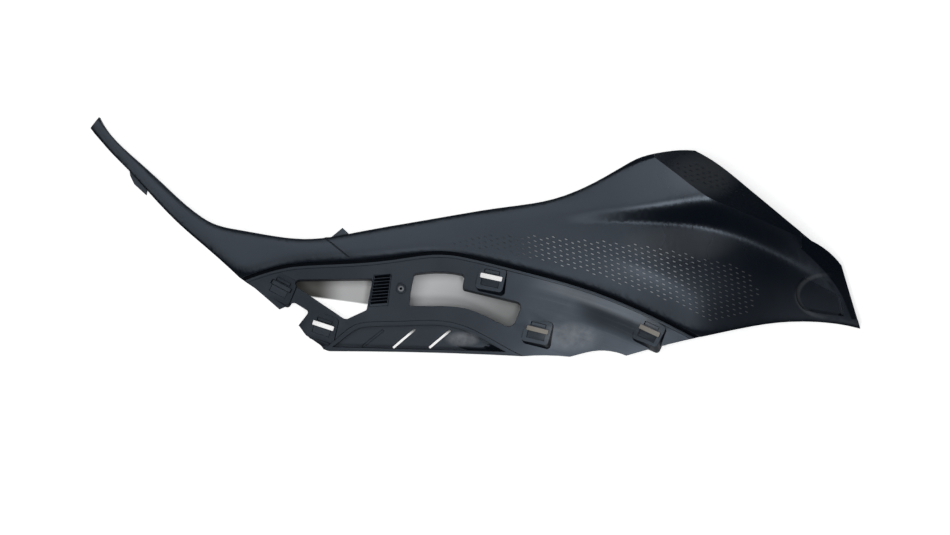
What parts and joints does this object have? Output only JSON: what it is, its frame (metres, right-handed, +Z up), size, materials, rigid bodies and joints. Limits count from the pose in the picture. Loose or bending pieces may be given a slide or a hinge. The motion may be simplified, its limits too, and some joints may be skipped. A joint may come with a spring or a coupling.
{
  "type": "inner fairing panel",
  "caption": "Moulded inner fairing panel for a motorbike: front arm, humped trim with a field of dashes, and a vented mounting flange with clip sockets, windows and a louvred scoop",
  "frame": {"origin": "middle of the footprint, on the surface that the panel lies on", "axes": "+X along the panel from the arm's tip to the rear end, +Y from the mounting flange to the hump, +Z up, out of the face that shows"},
  "size_m": [0.7, 0.218, 0.0523],
  "materials": {
    "black_plastic": "fine grain on the skin, smoother satin on the flange"
  },
  "bodies": {
    "root": {"inner_fairing_panel": "black_plastic"}
  },
  "joints": []
}
